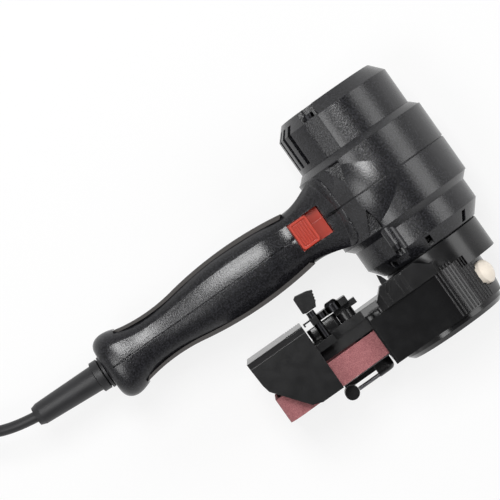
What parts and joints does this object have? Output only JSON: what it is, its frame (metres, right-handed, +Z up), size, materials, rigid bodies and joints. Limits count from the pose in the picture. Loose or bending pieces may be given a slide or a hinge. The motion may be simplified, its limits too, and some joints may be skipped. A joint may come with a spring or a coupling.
{
  "type": "electric knife sharpener",
  "caption": "Hand-held electric belt sharpener for knives, with a mains motor across its handle, a swivelling belt cassette, blade guide and cord.",
  "frame": {"origin": "centre of the tool's box, without its lead, on the surface that it lies on", "axes": "+X along the handle towards the motor, +Y along the motor's axis towards its vented cap, +Z up from the surface"},
  "size_m": [0.4261, 0.132, 0.0697],
  "materials": {
    "housing_plastic": "fine spark texture",
    "grip_rubber": "soft matt overmould",
    "cassette_plastic": "smooth satin moulding",
    "cover_plastic": "semi-gloss moulding",
    "switch_red": "satin red moulding",
    "button_ivory": "satin ivory moulding",
    "inner_plastic": "moulded",
    "bright_steel": "ground",
    "screw_black": "black oxide",
    "lamination": "stacked electrical steel",
    "copper": "enamelled copper",
    "brush_brass": "folded sheet",
    "carbon": "pressed carbon",
    "pulley_alloy": "turned",
    "abrasive": "grit on cloth",
    "cord_rubber": "smooth sheath",
    "pin_brass": "nickel plated"
  },
  "bodies": {
    "root": {"rear_housing": "housing_plastic", "front_housing": "housing_plastic", "rear_cap": "housing_plastic", "grip_pad_rear": "grip_rubber", "grip_pad_front": "grip_rubber", "switch_body": "inner_plastic", "field_core": "lamination", "field_coils": "copper", "rear_bearing": "bright_steel", "front_bearing": "bright_steel", "brush_holders": "brush_brass", "carbon_brushes": "carbon", "housing_screws": "screw_black", "cap_screws": "screw_black", "swivel_retainer": "bright_steel", "strain_relief": "cord_rubber", "inner_lead": "cord_rubber", "cord_free": "cord_rubber", "cord_coil": "cord_rubber", "plug_body": "cord_rubber", "plug_pins": "pin_brass"},
    "switch": {"switch_slider": "switch_red"},
    "rotor": {"armature_shaft": "bright_steel", "armature_core": "lamination", "armature_windings": "copper", "commutator": "copper", "cooling_fan": "inner_plastic", "drive_pulley": "pulley_alloy", "pulley_screw": "screw_black"},
    "cassette": {"swivel_collar": "cassette_plastic", "cassette_frame": "cassette_plastic", "cassette_saddle": "cassette_plastic", "cassette_screws": "screw_black", "tracking_bracket": "cassette_plastic", "bracket_screw": "screw_black", "keeper_plate": "bright_steel", "abrasive_belt": "abrasive"},
    "carriage": {"tension_carriage": "cassette_plastic", "lower_axle": "bright_steel", "tension_spring": "bright_steel"},
    "arm": {"tracking_arm": "cassette_plastic", "upper_axle": "bright_steel"},
    "upper_roller": {"upper_idler": "pulley_alloy"},
    "lower_roller": {"lower_idler": "pulley_alloy"},
    "lever": {"tension_lever": "cassette_plastic", "lever_rod": "bright_steel", "lever_knob": "cassette_plastic"},
    "knob": {"tracking_knob": "cassette_plastic", "tracking_screw": "bright_steel"},
    "guide": {"blade_guide": "cassette_plastic"},
    "cover": {"belt_cover": "cover_plastic", "cover_disc": "cover_plastic"},
    "button": {"release_button": "button_ivory"}
  },
  "joints": [
    {"name": "switch_slide", "type": "slide", "parent": "root", "child": "switch", "axis": [1, 0, 0], "range_m": [0, 0.006]},
    {"name": "rotor_spin", "type": "hinge", "parent": "root", "child": "rotor", "pos_m": [0.08165, 0.0156, 0.0345], "axis": [0, 1, 0], "continuous": true},
    {"name": "cassette_swivel", "type": "hinge", "parent": "root", "child": "cassette", "pos_m": [0.08165, -0.0294, 0.0345], "axis": [0, 1, 0], "range_deg": [-90, 90]},
    {"name": "carriage_slide", "type": "slide", "parent": "cassette", "child": "carriage", "axis": [1, 0, 0], "range_m": [0, 0.004], "stiffness_N_per_m": 1500, "springref_m": -0.008, "deforming": ["tension_spring", "abrasive_belt"]},
    {"name": "tension_lever_turn", "type": "hinge", "parent": "cassette", "child": "lever", "pos_m": [0.03165, -0.0544, 0.0345], "axis": [0, 1, 0], "range_deg": [0, 80]},
    {"name": "tracking_knob_turn", "type": "hinge", "parent": "cassette", "child": "knob", "pos_m": [0.01725, -0.0144, 0.055], "axis": [0, 1, 0], "range_deg": [-180, 180]},
    {"name": "tracking_tilt", "type": "hinge", "parent": "carriage", "child": "arm", "pos_m": [-0.01215, -0.0319, 0.0505], "axis": [0, 0, 1], "range_deg": [-0.65, 0.65]},
    {"name": "upper_idler_spin", "type": "hinge", "parent": "arm", "child": "upper_roller", "pos_m": [-0.01215, -0.0454, 0.055], "axis": [0, 1, 0], "continuous": true},
    {"name": "lower_idler_spin", "type": "hinge", "parent": "carriage", "child": "lower_roller", "pos_m": [-0.01215, -0.0454, 0.014], "axis": [0, 1, 0], "continuous": true},
    {"name": "guide_removal", "type": "slide", "parent": "cassette", "child": "guide", "axis": [-1, 0, 0], "range_m": [0, 0.04]},
    {"name": "cover_removal", "type": "slide", "parent": "cassette", "child": "cover", "axis": [0, -1, 0], "range_m": [0, 0.03]},
    {"name": "button_push", "type": "slide", "parent": "cover", "child": "button", "axis": [-0.848, 0, -0.5299], "range_m": [0, 0.002], "stiffness_N_per_m": 400, "springref_m": -0.003}
  ],
  "couplings": [
    {"joint": "tension_lever_turn", "follows": "carriage_slide", "rad_per_m": 349.06},
    {"joint": "tracking_tilt", "follows": "tracking_knob_turn", "ratio": 0.00361},
    {"joint": "upper_idler_spin", "follows": "rotor_spin", "ratio": 1.8333},
    {"joint": "lower_idler_spin", "follows": "rotor_spin", "ratio": 1.8333}
  ]
}
